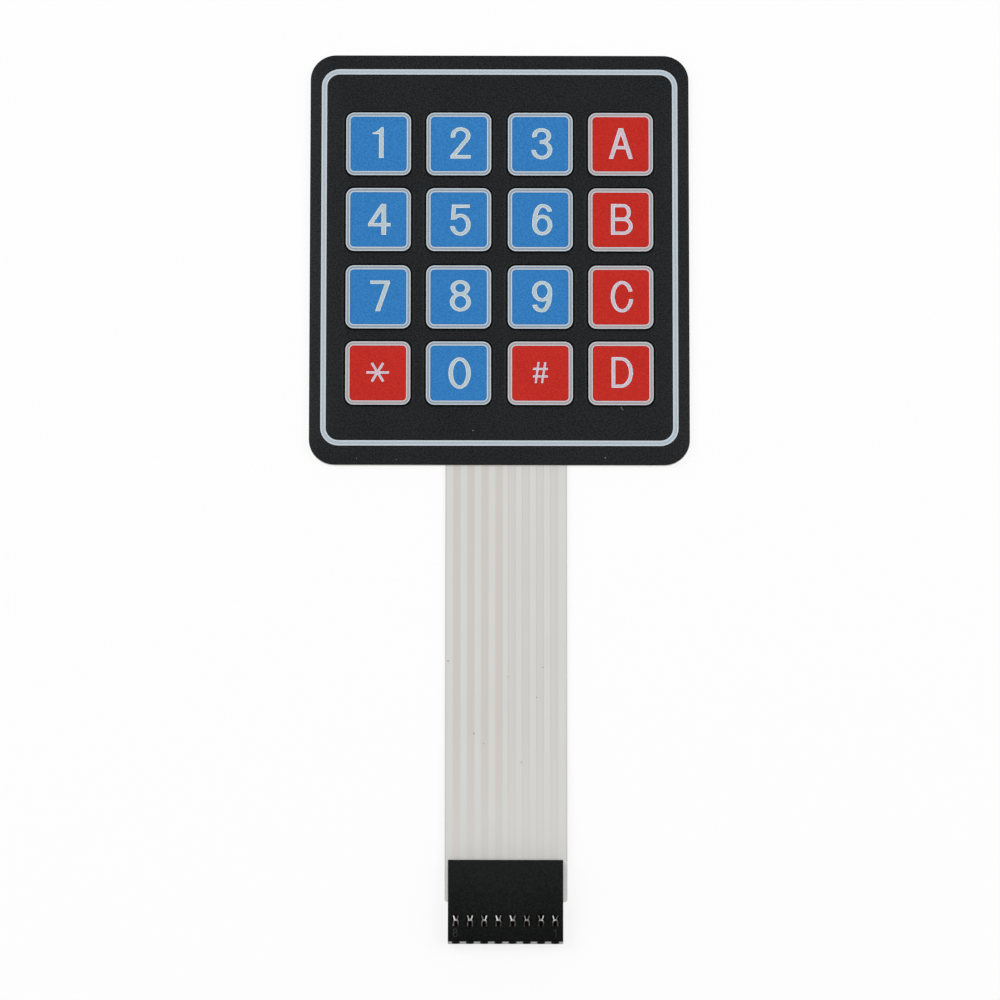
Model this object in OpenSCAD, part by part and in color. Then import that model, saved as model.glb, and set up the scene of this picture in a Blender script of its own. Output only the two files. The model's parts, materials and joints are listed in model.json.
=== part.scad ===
// Membrane keypad with sixteen embossed keys, a flat film tail and an 8-way socket.
// Frame: millimetres, +Z out of the front, +Y towards the top row of keys.
// The origin is the centre of the back face of the panel, so the part lies on Z = 0.

/* [Key grid] */
// Outer size of the printed border of a key
key_size = 11.86; // [9:0.1:14]
// Outer corner radius of the key border
key_corner_r = 1.5; // [0.5:0.1:3]
// Width of the line around each key
key_border_w = 0.82; // [0.3:0.02:1.5]
// Corner radius of the colour field of a key
field_corner_r = 0.5; // [0.2:0.05:1.5]
// Gap between the keys of the outer column pairs
column_gap = 2.77; // [2:0.05:5]
// Gap between the second and third columns
middle_column_gap = 2.98; // [2:0.05:6]
// Gap between the keys of the outer row pairs
row_gap = 2.37; // [2:0.05:5]
// Gap between the second and third rows
middle_row_gap = 2.65; // [2:0.05:6]

/* [Panel] */
// Panel edge to the key borders, left and right
side_margin = 6.52; // [5:0.1:12]
// Panel edge to the key borders at the top
top_margin = 10.86; // [6:0.02:20]
// Panel edge to the key borders at the tail side
bottom_margin = 11.06; // [8:0.02:20]
// Corner radius of the panel
panel_corner_r = 4.7; // [1:0.1:8]
// Panel edge to the printed frame line, left and right
frame_side_inset = 2.06; // [1:0.05:3]
// Panel edge to the printed frame line at the top
frame_top_inset = 2.64; // [1:0.01:4]
// Panel edge to the printed frame line at the tail side
frame_bottom_inset = 3.55; // [1:0.01:5]
// Width of the printed frame line
frame_line_w = 0.97; // [0.4:0.05:1.5]
// Outer corner radius of the frame line
frame_corner_r = 3.3; // [1.6:0.1:5]

/* [Layers] */
// Thickness of the paper release liner
liner_t = 0.09; // [0.06:0.01:0.2]
// Thickness of the rear adhesive
rear_adhesive_t = 0.1; // [0.05:0.01:0.25]
// Thickness of each circuit film
film_t = 0.1; // [0.075:0.005:0.175]
// Thickness of the spacer between the circuit films
spacer_t = 0.16; // [0.12:0.01:0.3]
// Thickness of the silver ink
ink_t = 0.04; // [0.02:0.005:0.05]
// Thickness of the adhesive under the overlay
overlay_adhesive_t = 0.06; // [0.04:0.01:0.15]
// Thickness of the overlay film
overlay_t = 0.2; // [0.12:0.01:0.3]
// Thickness of the colour print
print_t = 0.03; // [0.02:0.005:0.05]

/* [Embossed keys] */
// Height that a key stands above the overlay
key_raise = 0.25; // [0.1:0.01:0.4]
// Flat land between the key border and the top of the embossed slope
emboss_land = 0.15; // [0.05:0.05:0.3]
// Width of the embossed slope
emboss_run = 0.5; // [0.3:0.05:0.65]

/* [Switch circuits] */
// Radius of a contact pad
pad_r = 3.4; // [2:0.1:4]
// Spacer hole edge beyond the contact pad
hole_clear = 0.8; // [0.3:0.1:1.2]
// Width of a silver track in the panel
track_w = 0.9; // [0.5:0.1:1.2]
// Spacing of neighbouring tracks in the panel
track_pitch = 1.6; // [1.4:0.1:1.9]
// Panel edge to the middle of the outermost track
track_inset = 1.9; // [1.2:0.1:2.2]
// Width of the air channels that join the spacer holes
vent_w = 0.8; // [0.4:0.1:1.2]

/* [Tail] */
// Width of the tail
tail_w = 22; // [21:0.1:26]
// Sideways place of the tail's middle line
tail_x = 1.24; // [-4:0.01:4]
// Sideways place of the ways' middle, from the tail's middle line
ways_x = -0.09; // [-0.2:0.01:0.2]
// Free length of the tail from the panel to the connector
tail_free_l = 72.95; // [40:0.05:200]
// Width of a silver track in the tail
tail_track_w = 1.3; // [0.8:0.05:1.6]
// Length of the gentle bend up to the connector
tail_bend_l = 24; // [10:1:35]
// Straight stretch between the bend and the connector
tail_lead_l = 3; // [1:0.5:4]
// Corner radius of the end of the tail
tail_corner_r = 0.45; // [0.1:0.05:0.8]

/* [Connector housing] */
// Spacing of the ways
pitch = 2.54; // [2.5:0.01:2.6]
// Length of the housing from the film side to the mating face
housing_l = 14.85; // [14:0.05:18]
// Thickness of the housing
housing_t = 2.54; // [2.4:0.02:3]
// Width that each end of the housing adds to its ways
end_wall = 0.16; // [0:0.02:0.4]
// Radius of the housing's long edges
housing_edge_r = 0.22; // [0.1:0.02:0.28]
// Depth that the film reaches into the housing
film_insert_l = 7.3; // [7:0.1:8]
// Room around the film in its slot
film_clear = 0.1; // [0.05:0.01:0.15]
// Wall between a contact and the mating face
front_wall = 0.9; // [0.7:0.05:1.2]
// Side of the square pin holes
pin_hole = 0.9; // [0.75:0.05:1.1]
// Width of a pin's lead-in at the mating face
lead_in_w = 1.46; // [1.1:0.02:1.9]
// Width of a pin's lead-in at its bottom
lead_in_narrow = 0.8; // [0.5:0.02:1]
// Depth of a pin's lead-in
lead_in_depth = 0.55; // [0.2:0.05:0.6]
// Middle of the housing up to the middle of a lead-in's upper round end
lead_in_rise = 0.82; // [0.4:0.02:0.9]
// Middle of the housing down to the middle of a lead-in's lower round end
lead_in_fall = 0.3; // [0.1:0.02:0.4]
// Width of a latch window
window_w = 1.35; // [1:0.05:1.6]
// Length of a latch window
window_l = 2.05; // [1.6:0.05:2.4]
// Mating face to the latch windows
window_setback = 2.8; // [2.5:0.02:2.9]
// Room between a contact and the sides and roof of its cavity
contact_clear = 0.08; // [0.04:0.01:0.12]

/* [Crimp contacts] */
// Thickness of the contact sheet metal
sheet_t = 0.2; // [0.15:0.01:0.25]
// Outer width and height of a contact's pin box
box_w = 1.78; // [1.6:0.02:1.9]
// Length of the pin box
box_l = 3.2; // [2.9:0.05:3.3]
// Outer corner radius of the pin box
box_corner_r = 0.28; // [0.26:0.01:0.35]
// Outer radius of the round rear end of the box's roof
arch_r = 0.56; // [0.5:0.01:0.65]
// Length of the roof's free tongue, between the cuts beside it
tongue_l = 1.2; // [0.8:0.05:1.3]
// Width of the slot in the box's roof
roof_slot_w = 0.6; // [0.4:0.02:0.7]
// Length of the straight part of the roof slot
roof_slot_l = 0.7; // [0.4:0.05:1]
// Width of a latch ear
ear_w = 0.22; // [0.15:0.01:0.26]
// Length of a latch ear
ear_l = 0.85; // [0.6:0.05:0.9]
// Height that a latch ear rises above the box
ear_rise = 0.28; // [0.15:0.01:0.34]
// Angle between a latch ear and the length of the contact
ear_spread = 18; // [0:1:20]
// Angle on the roof's round end at which a latch ear starts
ear_root = 23; // [18:1:45]
// Width of the pin spring inside the box
spring_w = 0.8; // [0.5:0.05:1]
// Room between the pin spring and the roof of the box
spring_gap = 0.5; // [0.4:0.02:0.6]
// Width of the crimp strip under the film
crimp_w = 1.3; // [1:0.05:1.5]
// Length of the sloped cheeks between the box and the crimp strip
cheek_l = 3; // [2:0.1:3.2]
// Length of one pair of crimp tines
tine_l = 0.8; // [0.5:0.05:1]
// Spacing of the crimp tines along the film
tine_pitch = 1.9; // [1.4:0.05:2]
// Film end to the first crimp tines
tine_setback = 0.9; // [0.6:0.05:1]
// Gap between the folded ends of a tine pair
tine_gap = 0.2; // [0.1:0.02:0.3]
// Room around a tine where it goes through the film
pierce_clear = 0.02; // [0.01:0.005:0.04]

/* [Hidden] */
$fn = 48;

// Counts of the matrix
columns = 4;
rows = 4;
ways = columns + rows;
tine_pairs = 3;

// Panel size, which follows the key grid
grid_w = columns * key_size + 2 * column_gap + middle_column_gap;
grid_h = rows * key_size + 2 * row_gap + middle_row_gap;
panel_w = grid_w + 2 * side_margin;
panel_h = grid_h + top_margin + bottom_margin;
grid_y = (bottom_margin - top_margin) / 2;
panel_bottom = -panel_h / 2;
field_size = key_size - 2 * key_border_w;

// Heights of the layers, from the back
rear_adhesive_z = liner_t;
lower_film_z = rear_adhesive_z + rear_adhesive_t;
spacer_z = lower_film_z + film_t;
upper_film_z = spacer_z + spacer_t;
overlay_adhesive_z = upper_film_z + film_t;
overlay_z = overlay_adhesive_z + overlay_adhesive_t;
overlay_top = overlay_z + overlay_t;
key_top = overlay_top + key_raise;
stack_t = 2 * film_t + spacer_t;

// Embossed slope: the underside of the film follows the top at the film's thickness
key_half = key_size / 2 + emboss_land;
key_round = key_corner_r + emboss_land;
emboss_angle = atan2(key_raise, emboss_run);
emboss_shift = overlay_t * tan(emboss_angle / 2);
window_margin = emboss_land + emboss_run;

// Connector places along Y
housing_w = ways * pitch + 2 * end_wall;
housing_rear = panel_bottom - tail_free_l;
mating_face = housing_rear - housing_l;
film_end = housing_rear - film_insert_l;

// Connector heights: the pin box is centred on the housing, and its floor runs under the film
box_z = (housing_t - box_w) / 2;
box_top = box_z + box_w;
film_rise = box_z + sheet_t - lower_film_z;
cavity_w = box_w + 2 * contact_clear;
box_front = mating_face + front_wall;
box_back = box_front + box_l;
crimp_back = film_end + tine_setback + (tine_pairs - 1) * tine_pitch + tine_l;
window_front = mating_face + window_setback;

// Overlap of cutters past the faces that they open
past = 0.5;
// Number of straight facets along the bend of the tail
bend_steps = 16;

// Tail route: level at the panel, then a smooth rise to the film slot of the housing
bend_end = housing_rear + tail_lead_l;
bend_start = bend_end + tail_bend_l;
tail_root = panel_bottom + track_inset / 2;
function ease(t) = t * t * (3 - 2 * t);
tail_route = concat(
  [[tail_root, 0]],
  [for (i = [0:bend_steps]) [bend_start - tail_bend_l * i / bend_steps, film_rise * ease(i / bend_steps)]],
  [[film_end, film_rise]]
);

// Middle of a column or a row, counted from the left and from the top
function side(n) = n > 1 ? 1 : -1;
function is_outer(n) = n == 0 || n == 3;
function spread(n, gap, middle_gap) =
  side(n) * (middle_gap / 2 + key_size / 2 + (is_outer(n) ? key_size + gap : 0));
function column_x(i) = spread(i, column_gap, middle_column_gap);
function row_y(j) = grid_y - spread(j, row_gap, middle_row_gap);
function way_x(k) = tail_x + ways_x + (k - (ways - 1) / 2) * pitch;
function is_red(i, j) = i == 3 || (j == 3 && i != 1);
function backwards(list) = [for (i = [len(list) - 1:-1:0]) list[i]];

// Places of the tracks in the margins of the panel
function track_x(n) = -panel_w / 2 + track_inset + n * track_pitch;
function track_y(n) = panel_bottom + track_inset + n * track_pitch;

// A rectangle with round corners, centred
module rounded(w, h, r) {
  limit = min(r, w / 2 - 0.01, h / 2 - 0.01);
  square([w - 2 * limit, h], center = true);
  square([w, h - 2 * limit], center = true);
  for (x = [-1, 1], y = [-1, 1])
    translate([x * (w / 2 - limit), y * (h / 2 - limit)])
      circle(limit);
}

module panel_outline() {
  rounded(panel_w, panel_h, panel_corner_r);
}

// Children at every key, or only at the keys of one colour
module at_keys(red = undef) {
  for (i = [0:columns - 1], j = [0:rows - 1])
    if (is_undef(red) || is_red(i, j) == red)
      translate([column_x(i), row_y(j), 0])
        children();
}

// A flat profile of Y and Z, extruded from one X to another
module along_x(from, to) {
  translate([from, 0, 0])
    rotate([90, 0, 90])
      linear_extrude(to - from)
        children();
}

// A flat profile of X and Z, extruded from one Y towards -Y
module along_y(from, to) {
  translate([0, from, 0])
    rotate([90, 0, 0])
      linear_extrude(from - to)
        children();
}

// A strip of the tail between two X places, at a height above the tail's route
module tail_strip(z, t, from, to) {
  under = [for (p = tail_route) [p[0], p[1] + z]];
  over = [for (p = tail_route) [p[0], p[1] + z + t]];
  along_x(from, to)
    polygon(concat(under, backwards(over)));
}

// A straight line of track through a list of points, with square ends
module track_line(points, w) {
  for (n = [0:len(points) - 2]) {
    a = points[n];
    b = points[n + 1];
    low = [min(a[0], b[0]) - w / 2, min(a[1], b[1]) - w / 2];
    high = [max(a[0], b[0]) + w / 2, max(a[1], b[1]) + w / 2];
    translate(low)
      square(high - low);
  }
}

// The slots that the crimp tines pierce through the tail
module tine_slots() {
  reach = stack_t + 2 * past;
  leg = sheet_t + 2 * pierce_clear;
  for (k = [0:ways - 1], n = [0:tine_pairs - 1], s = [-1, 1])
    translate([
      way_x(k) + s * (crimp_w - sheet_t) / 2 - leg / 2,
      film_end + tine_setback + n * tine_pitch - pierce_clear,
      lower_film_z + film_rise - past
    ])
      cube([leg, tine_l + 2 * pierce_clear, reach]);
}

// What rounds the two corners at the end of the tail
module tail_corners() {
  translate([0, 0, lower_film_z + film_rise - past])
    linear_extrude(stack_t + 2 * past)
      for (s = [-1, 1])
        translate([tail_x + s * (tail_w / 2 - tail_corner_r), film_end + tail_corner_r])
          difference() {
            translate([s > 0 ? 0 : -tail_corner_r - past, -tail_corner_r - past])
              square(tail_corner_r + past);
            circle(tail_corner_r);
          }
}

// The full width of the tail, for one layer
module tail_layer(z, t) {
  tail_strip(z, t, tail_x - tail_w / 2, tail_x + tail_w / 2);
}

// One film of the circuit: the panel and the tail in one piece
module circuit_film(z) {
  difference() {
    union() {
      translate([0, 0, z])
        linear_extrude(film_t)
          panel_outline();
      tail_layer(z, film_t);
    }
    tine_slots();
    tail_corners();
  }
}

// One printed circuit: its pads and its line in the panel, and its strip in the tail
module circuit(z, t, points, pads, x) {
  translate([0, 0, z])
    linear_extrude(t) {
      track_line(points, track_w);
      for (p = pads)
        translate(p)
          circle(pad_r);
    }
  tail_strip(z, t, x - tail_track_w / 2, x + tail_track_w / 2);
}

// The row circuits go round the left margin, the outermost to the first way.
// Extra height, towards the film that carries them, makes them cutters.
module row_circuits(extra = 0) {
  for (j = [0:rows - 1]) {
    pads = [for (i = [0:columns - 1]) [column_x(i), row_y(j)]];
    circuit(upper_film_z - ink_t, ink_t + extra, [
      [column_x(columns - 1), row_y(j)],
      [track_x(j), row_y(j)],
      [track_x(j), track_y(j)],
      [way_x(j), track_y(j)],
      [way_x(j), tail_root]
    ], pads, way_x(j));
  }
}

// The column circuits run straight down and then across to the last four ways.
// Extra height, towards the film that carries them, makes them cutters.
module column_circuits(extra = 0) {
  for (i = [0:columns - 1]) {
    level = track_y(i % 2 + 1);
    pads = [for (j = [0:rows - 1]) [column_x(i), row_y(j)]];
    circuit(spacer_z - extra, ink_t + extra, [
      [column_x(i), row_y(0)],
      [column_x(i), level],
      [way_x(rows + i), level],
      [way_x(rows + i), tail_root]
    ], pads, way_x(rows + i));
  }
}

// A raised key form: straight slopes on four sides and a cone at each corner
module pillow(z, half, corner) {
  axis = half - corner;
  foot = half + emboss_run;
  slope = [[-foot, z], [foot, z], [half, z + key_raise], [-half, z + key_raise]];
  cone = [[0, 0], [corner + emboss_run, 0], [corner, key_raise], [0, key_raise]];
  for (a = [0, 90])
    rotate(a)
      along_y(axis, -axis)
        polygon(slope);
  for (a = [0:90:270])
    rotate(a)
      translate([axis, axis, z])
        rotate_extrude(angle = 90)
          polygon(cone);
}

// Spacer holes and the air channels between them
module spacer_openings() {
  vent_offset = pad_r - vent_w;
  at_keys()
    circle(pad_r + hole_clear);
  for (i = [0:columns - 2], j = [0:rows - 1])
    translate([column_x(i), row_y(j) + vent_offset - vent_w / 2])
      square([column_x(i + 1) - column_x(i), vent_w]);
  translate([column_x(columns - 1) + vent_offset - vent_w / 2, row_y(rows - 1)])
    square([vent_w, row_y(0) - row_y(rows - 1)]);
}

module release_liner() {
  color("#e6dfca")
    linear_extrude(liner_t)
      panel_outline();
}

module rear_adhesive() {
  color("#d8cfb0")
    translate([0, 0, rear_adhesive_z])
      linear_extrude(rear_adhesive_t)
        panel_outline();
}

module lower_circuit_film() {
  color("#d6d6d4")
    circuit_film(lower_film_z);
}

module upper_circuit_film() {
  color("#d9d9d7")
    circuit_film(upper_film_z);
}

module column_tracks() {
  color("#b9b4aa")
    difference() {
      column_circuits();
      tine_slots();
    }
}

module row_tracks() {
  color("#b4aea3")
    difference() {
      row_circuits();
      tine_slots();
    }
}

module spacer() {
  color("#e2e0d8")
    difference() {
      union() {
        translate([0, 0, spacer_z])
          linear_extrude(spacer_t)
            difference() {
              panel_outline();
              spacer_openings();
            }
        tail_layer(spacer_z, spacer_t);
      }
      row_circuits(past);
      column_circuits(past);
      tine_slots();
      tail_corners();
    }
}

module overlay_adhesive() {
  opening = key_size + 2 * window_margin;
  color("#d8d2bd")
    translate([0, 0, overlay_adhesive_z])
      linear_extrude(overlay_adhesive_t)
        difference() {
          panel_outline();
          at_keys()
            rounded(opening, opening, key_corner_r + window_margin);
        }
}

module graphic_overlay() {
  color("#262828")
    difference() {
      union() {
        translate([0, 0, overlay_z])
          linear_extrude(overlay_t)
            panel_outline();
        at_keys()
          pillow(overlay_top, key_half, key_round);
      }
      at_keys()
        pillow(overlay_z, key_half - emboss_shift, key_round - emboss_shift);
    }
}

// The frame line lies on the flat of the overlay, and the key borders on the raised keys
module line_print() {
  frame_w = panel_w - 2 * frame_side_inset;
  frame_h = panel_h - frame_top_inset - frame_bottom_inset;
  color("#c4cbd0") {
    translate([0, (frame_bottom_inset - frame_top_inset) / 2, overlay_top])
      linear_extrude(print_t)
        difference() {
          rounded(frame_w, frame_h, frame_corner_r);
          rounded(frame_w - 2 * frame_line_w, frame_h - 2 * frame_line_w, frame_corner_r - frame_line_w);
        }
    at_keys()
      translate([0, 0, key_top])
        linear_extrude(print_t)
          difference() {
            rounded(key_size, key_size, key_corner_r);
            rounded(field_size, field_size, field_corner_r);
          }
  }
}

module key_fields(red) {
  at_keys(red)
    translate([0, 0, key_top])
      linear_extrude(print_t)
        rounded(field_size, field_size, field_corner_r);
}

module blue_print() {
  color("#357bba")
    key_fields(false);
}

module red_print() {
  color("#bd2e26")
    key_fields(true);
}

// A pin's lead-in: a tapered slot with round ends, which breaks out of the upper long edge
module lead_in(x) {
  mouth = lead_in_w / 2;
  throat = lead_in_narrow / 2;
  taper = [
    [-mouth, mating_face],
    [mouth, mating_face],
    [throat, mating_face + lead_in_depth],
    [-throat, mating_face + lead_in_depth]
  ];
  translate([x, 0, housing_t / 2]) {
    translate([0, 0, -lead_in_fall])
      linear_extrude(lead_in_fall + lead_in_rise)
        polygon(taper);
    for (z = [-lead_in_fall, lead_in_rise])
      translate([0, mating_face, z])
        rotate([-90, 0, 0])
          cylinder(r1 = mouth, r2 = throat, h = lead_in_depth);
  }
}

// What one way takes out of the housing: cavity, pin hole, lead-in and latch window
module way_cutters(x) {
  translate([x - cavity_w / 2, box_front, box_z])
    cube([cavity_w, housing_rear - box_front + past, box_w + contact_clear]);
  translate([x - pin_hole / 2, mating_face - past, (housing_t - pin_hole) / 2])
    cube([pin_hole, front_wall + 2 * past, pin_hole]);
  lead_in(x);
  translate([x - window_w / 2, window_front, box_top])
    cube([window_w, window_l, housing_t]);
}

module connector_housing() {
  slot_w = max(tail_w, housing_w) + 2 * past;
  color("#1c1d1e")
    difference() {
      along_y(housing_rear, mating_face)
        translate([tail_x + ways_x, housing_t / 2])
          rounded(housing_w, housing_t, housing_edge_r);
      translate([tail_x - slot_w / 2, film_end - film_clear, lower_film_z + film_rise - film_clear])
        cube([slot_w, film_insert_l + film_clear + past, stack_t + 2 * film_clear]);
      for (k = [0:ways - 1])
        way_cutters(way_x(k));
    }
}

// What the roof of the pin box loses: a slot, and what lies beside its tongue with the round rear end
module roof_cutter() {
  centre = box_back - arch_r;
  translate([0, 0, box_top - sheet_t])
    linear_extrude(sheet_t + past) {
      translate([-roof_slot_w / 2, centre - roof_slot_l])
        square([roof_slot_w, roof_slot_l]);
      translate([0, centre])
        circle(roof_slot_w / 2);
      difference() {
        translate([-box_w / 2, box_back - tongue_l])
          square([box_w, tongue_l + past]);
        translate([0, centre])
          circle(arch_r);
        translate([-arch_r, box_back - tongue_l])
          square([2 * arch_r, tongue_l - arch_r]);
      }
    }
}

// A latch ear: a narrow tab that rises from the round end of the roof, towards the film
module latch_ear(s) {
  middle = (arch_r + roof_slot_w / 2) / 2;
  translate([s * middle * sin(ear_root), box_back - arch_r + middle * cos(ear_root), 0])
    rotate(-s * ear_spread)
      along_x(-ear_w / 2, ear_w / 2)
        polygon([
          [0, box_top - sheet_t],
          [ear_l, box_top - sheet_t + ear_rise],
          [ear_l, box_top + ear_rise],
          [0, box_top]
        ]);
}

// The pin box: a square tube whose roof ends in an arch with two latch ears
module pin_box() {
  inner_w = box_w - 2 * sheet_t;
  difference() {
    along_y(box_back, box_front)
      translate([0, box_z + box_w / 2])
        difference() {
          rounded(box_w, box_w, box_corner_r);
          rounded(inner_w, inner_w, box_corner_r - sheet_t);
        }
    roof_cutter();
  }
  for (s = [-1, 1])
    latch_ear(s);
}

// The bowed spring on the floor of the pin box
module pin_spring() {
  steps = 10;
  root = box_z + sheet_t / 2;
  crest = box_w - 2 * sheet_t - spring_gap;
  bow = [for (i = [0:steps]) [box_front + box_l * i / steps, root + crest * sin(180 * i / steps)]];
  over = [for (p = bow) [p[0], p[1] + sheet_t / 2]];
  along_x(-spring_w / 2, spring_w / 2)
    polygon(concat(bow, backwards(over)));
}

// The crimp: cheeks that fall away from the box, a strip under the film and folded tines
module crimp() {
  cheek_back = box_back + cheek_l;
  fold_h = stack_t + 2 * sheet_t;
  for (x = [-box_w / 2, box_w / 2 - sheet_t])
    along_x(x, x + sheet_t)
      polygon([
        [box_back, box_z],
        [box_back, box_top - box_corner_r],
        [cheek_back, box_z + sheet_t],
        [cheek_back, box_z]
      ]);
  translate([-box_w / 2, box_back, box_z])
    cube([box_w, cheek_l, sheet_t]);
  translate([-crimp_w / 2, cheek_back, box_z])
    cube([crimp_w, crimp_back - cheek_back, sheet_t]);
  for (n = [0:tine_pairs - 1])
    along_y(film_end + tine_setback + n * tine_pitch + tine_l, film_end + tine_setback + n * tine_pitch)
      translate([0, box_z + fold_h / 2])
        difference() {
          rounded(crimp_w, fold_h, sheet_t / 2);
          square([crimp_w - 2 * sheet_t, stack_t], center = true);
          translate([-tine_gap / 2, 0])
            square([tine_gap, fold_h]);
        }
}

// Contacts are numbered from the right, as the ways of the socket are
module contact(number) {
  color("#c9c6bd")
    translate([way_x(ways - number), 0, 0]) {
      pin_box();
      pin_spring();
      crimp();
    }
}

release_liner();
rear_adhesive();
lower_circuit_film();
column_tracks();
spacer();
row_tracks();
upper_circuit_film();
overlay_adhesive();
graphic_overlay();
line_print();
blue_print();
red_print();
connector_housing();
contact(1);  // contact_1
contact(2);  // contact_2
contact(3);  // contact_3
contact(4);  // contact_4
contact(5);  // contact_5
contact(6);  // contact_6
contact(7);  // contact_7
contact(8);  // contact_8
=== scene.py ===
# Membrane keypad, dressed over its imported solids.
# Pieces are modelled in millimetres and brought to metres last.
import json
import math

import bmesh
import bpy
from mathutils import Matrix, Vector

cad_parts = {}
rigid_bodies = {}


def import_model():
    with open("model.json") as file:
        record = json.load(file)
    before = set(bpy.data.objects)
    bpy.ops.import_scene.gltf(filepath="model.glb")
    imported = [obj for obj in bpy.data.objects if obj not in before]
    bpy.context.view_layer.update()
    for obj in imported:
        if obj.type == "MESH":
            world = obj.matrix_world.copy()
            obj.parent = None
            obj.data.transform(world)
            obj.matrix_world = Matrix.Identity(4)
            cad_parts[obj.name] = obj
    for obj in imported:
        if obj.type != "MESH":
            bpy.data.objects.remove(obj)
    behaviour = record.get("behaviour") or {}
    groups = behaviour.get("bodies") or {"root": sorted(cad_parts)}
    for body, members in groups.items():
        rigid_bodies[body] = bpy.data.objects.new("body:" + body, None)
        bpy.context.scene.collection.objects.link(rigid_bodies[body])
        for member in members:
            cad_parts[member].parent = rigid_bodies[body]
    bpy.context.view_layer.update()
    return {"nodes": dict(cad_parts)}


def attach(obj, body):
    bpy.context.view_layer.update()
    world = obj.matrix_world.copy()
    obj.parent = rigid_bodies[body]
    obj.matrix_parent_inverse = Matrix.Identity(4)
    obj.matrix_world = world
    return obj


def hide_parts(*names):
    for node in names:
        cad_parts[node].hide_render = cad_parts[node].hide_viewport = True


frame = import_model()

# Millimetres in a metre
METRE = 1000.0

# Sizes in millimetres, as in the part's source
PANEL_W, PANEL_L, PANEL_R = 69.0, 76.75, 4.7
COLUMN_X = (-22.05, -7.42, 7.42, 22.05)
ROW_Y = (21.585, 7.355, -7.155, -21.385)
KEY, KEY_R = 11.86, 1.5
LAND, RUN, RAISE = 0.15, 0.5, 0.25
OVERLAY_Z, OVERLAY_T = 0.81, 0.20
KEY_Z, INK_T = 1.06, 0.03
LINE_SIDE, LINE_TOP, LINE_END, LINE_W, LINE_R = 2.06, 2.64, 3.55, 0.97, 3.3
TAIL_X, TAIL_W = 1.24, 22.0
WAYS, WAY_PITCH, FIRST_WAY = 8, 2.54, -7.74
MATING_Y, HOUSING_L, HOUSING_Z = -126.175, 14.85, 2.54

# Print on the keys: the border's outer size, and the colour field with its corners and its darker rim
BORDER = 11.77
FIELD, FIELD_R, FIELD_RIM = 10.28, 0.75, 0.2

# Film: its bevelled edge, and the share of a key's slope above which its shoulder is painted dark as shade
OVERLAY_BEVEL = 0.05
PAINTED_KEY_SHADE_FROM = 0.77

# Signs: ink height, what is trimmed off a stroke, the shift to its place and the bank along its edges
SIGN_T, SIGN_TRIM, SIGN_SHIFT = 0.02, 0.05, (-0.08, 0.08)
BANK_W, SLIM_BANK_W, BANK_T, BANK_STEP = 0.15, 0.1, 0.006, 0.0005

# Strokes: how far they reach past a sign before it is cut level, and how finely they are drawn
STROKE_REACH, MIDDLE_REACH, REACH_STEP = 0.3, 0.2, 0.1
ARC_STEP, OUTLINE_SLACK = 7.5, 0.003

# Printed lines of the tail: the middle of the first one, half its width and its soft edge
LEFT_LINE, LEFT_HALF, LEFT_SOFT = FIRST_WAY + 0.08, 0.68, 0.34
RIGHT_LINE, RIGHT_HALF, RIGHT_SOFT = FIRST_WAY - 0.17, 0.61, 0.10
EDGE_WIDE, EDGE_SLIM, EDGE_SOFT = 0.70, 0.54, 0.08
HALVES_MEET, LINES_HALF, LINES_FROM = 0.9, 10.4, -38.0
FADE_FROM, FADE_L = -88.0, 22.0
# Tabs beside the housing: where they start and their soft edge; there the film is painted lighter to make up
# for the housing's shade
LIT_TABS_FROM, LIT_TABS_SOFT = -111.2, 0.5
TAIL_RIM, TAIL_RIM_SOFT = 0.26, 0.08

# Specks in the films, each with its place and radius; the last three on the overlay are one short scratch
SPECK_SOFT = 0.08
TAIL_SPECKS = ((-9.21, -74.58, 0.16), (7.88, -75.74, 0.13), (6.71, -81.26, 0.12), (-4.53, -87.88, 0.15),
               (-2.82, -89.71, 0.11), (4.01, -93.18, 0.13), (1.58, -77.41, 0.10))
OVERLAY_SPECKS = ((19.19, -37.02, 0.12), (-4.78, -32.00, 0.10), (-25.85, -37.24, 0.07),
                  (-18.61, -37.42, 0.07), (22.08, -27.68, 0.075), (22.19, -27.86, 0.07),
                  (22.30, -28.04, 0.075))

# Connector: where the painted shading of the plastic starts, which grows lighter toward the film, how deep a
# face still counts as the mating face, and the raised pin numbers with their places
PAINTED_SHADE_FROM, MATING_DEPTH = -126.1, 0.05
PIN_NUMBERS = (("8", -7.85, -124.6), ("1", 10.1, -124.66))
PIN_NUMBER_SCALE, PIN_NUMBER_T, SIGN_MIDDLE = (0.24, 0.275), 0.12, 0.37

# Contacts: the crown of the tongue, the level of the roof below which the metal is painted dark as shade,
# and how bright the painted glint on each way's left and right ears is
CROWN_Y, CROWN_L, ROOF_Z = -122.075, 0.24, 2.02
EAR_SOFT, ROOF_SOFT, MIDDLE_SOFT = 0.12, 0.1, 0.15
EAR_PAINTED_GLINT = ((1.0, 0.1), (0.5, 0.8), (0.12, 0.85), (0.95, 0.3),
             (1.0, 0.15), (0.2, 0.1), (0.12, 0.65), (0.75, 0.05))

# Stage, in metres
FLOOR_SIZE, FLOOR_DROP = 60, 0.00002
LIGHT_AIM = (0.0, -0.045, 0.0)

# Signs of the keys by row, and how far each is moved up on its key
SIGNS = ("123A", "456B", "789C", "*0#D")
SIGN_LIFT = ((0.14, 0.12, -0.02, 0.0), (-0.11, -0.16, -0.09, -0.01),
             (0.09, 0.11, 0.02, 0.02), (0.0, -0.08, 0.03, 0.10))


# Modelling helpers

def to_objects():
    if bpy.context.object is not None and bpy.context.object.mode != "OBJECT":
        bpy.ops.object.mode_set(mode="OBJECT")


def leave_all():
    to_objects()
    bpy.ops.object.select_all(action="DESELECT")


def take(*pieces):
    leave_all()
    for piece in pieces:
        piece.select_set(True)
    bpy.context.view_layer.objects.active = pieces[0]


def edit(piece):
    take(piece)
    bpy.ops.object.mode_set(mode="EDIT")


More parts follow.
